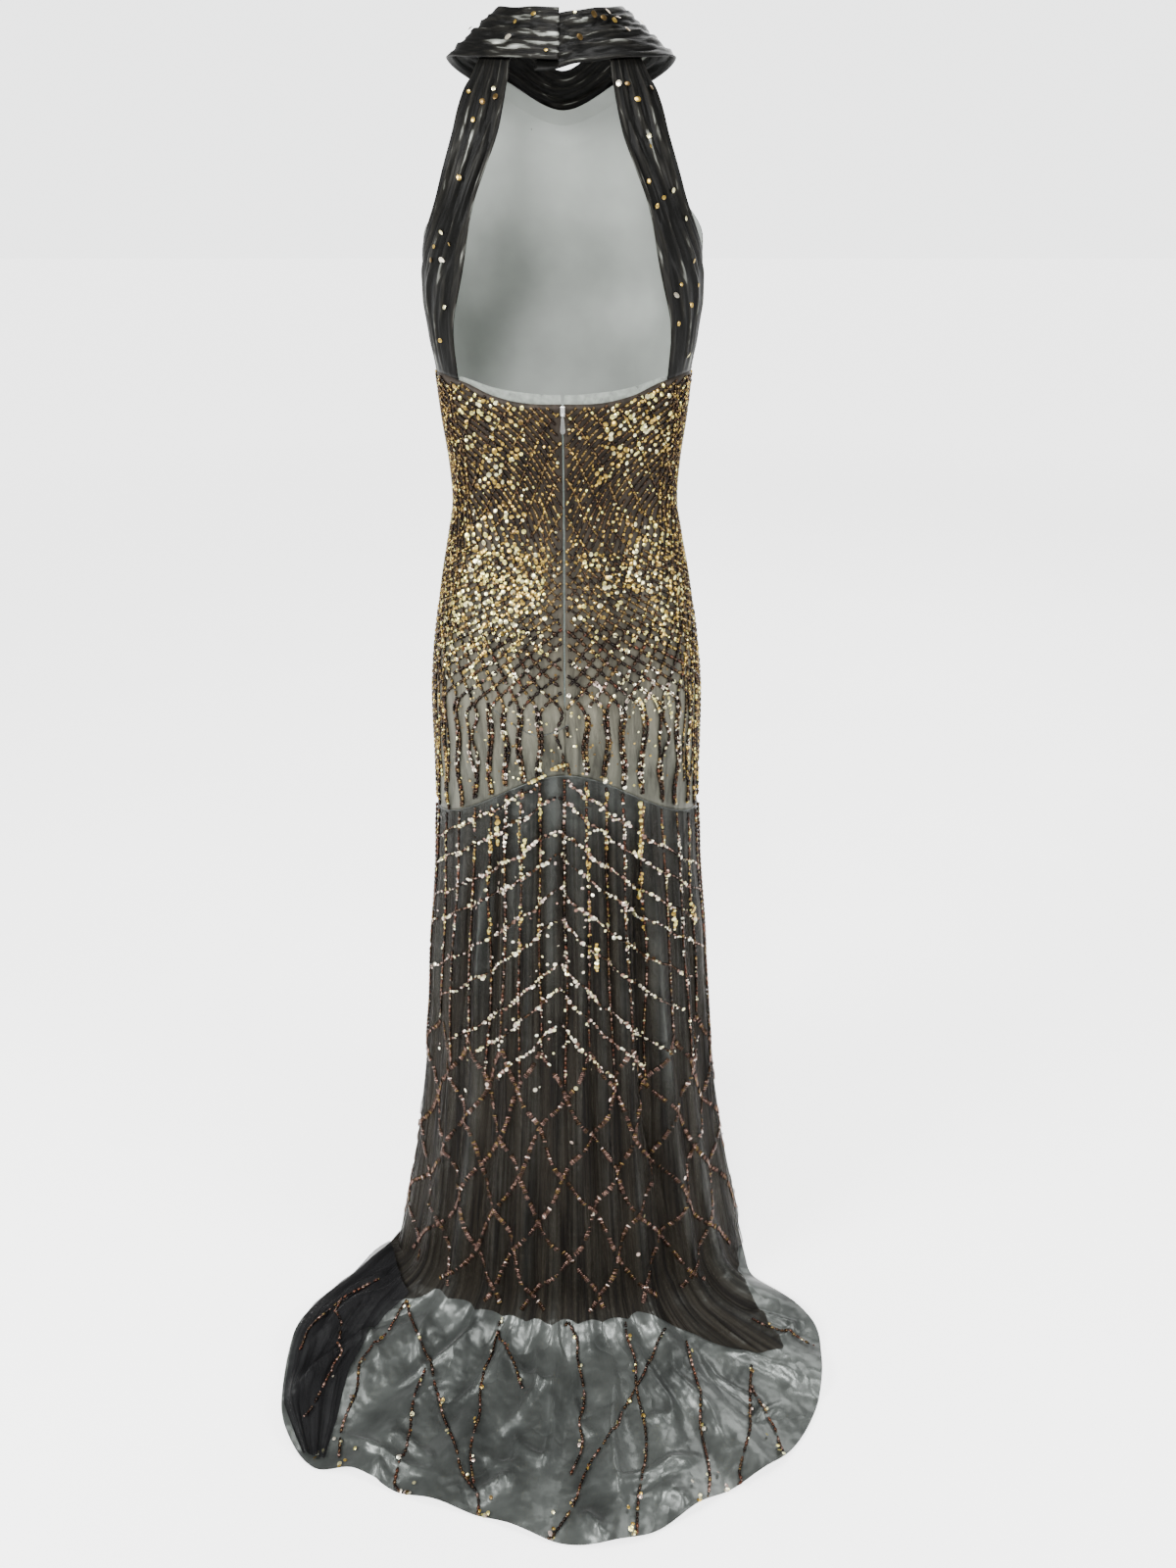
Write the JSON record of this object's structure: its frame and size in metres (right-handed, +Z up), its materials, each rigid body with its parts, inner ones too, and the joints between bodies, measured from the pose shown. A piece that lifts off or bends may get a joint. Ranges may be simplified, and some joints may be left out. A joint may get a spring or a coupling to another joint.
{
  "type": "evening gown",
  "caption": "Floor-length halter evening gown with an open back, a fluted fishtail skirt and a short train, standing in its worn shape.",
  "frame": {"origin": "middle of the neck loop, which hangs round the wearer's neck: on the body's axis, 1480 mm above the floor that the hem and the train lie on", "axes": "+Z up; the gown's front faces -Y and its open back and train +Y; +X is the wearer's left"},
  "size_m": [0.6997, 0.6652, 1.5185],
  "materials": {
    "ruched_net": "black-brown net, gathered over satin",
    "beaded_net": "dark net over grey-green satin, covered with bronze beads and gold sequins",
    "skirt_satin": "silver-grey satin under dark net, with strands of beads",
    "sheer_edging": "sheer grey-green net, plain",
    "zip_tape": "woven zip tape, pale grey",
    "zip_metal": "bright nickel plate on a zinc casting"
  },
  "bodies": {
    "gown": {"neckband": "ruched_net", "strap_left": "ruched_net", "strap_right": "ruched_net", "bodice_front": "beaded_net", "bodice_back_left": "beaded_net", "bodice_back_right": "beaded_net", "back_edging_left": "sheer_edging", "back_edging_right": "sheer_edging", "skirt_back": "skirt_satin", "skirt_front": "skirt_satin", "zip_tape": "zip_tape", "zip_slider": "zip_metal"},
    "zip_pull": {"zip_pull": "zip_metal"}
  },
  "joints": [
    {"name": "zip_pull_swing", "type": "hinge", "parent": "gown", "child": "zip_pull", "pos_m": [0, 0.08929, -0.3091], "axis": [1, 0, 0], "range_deg": [0, 160]}
  ]
}
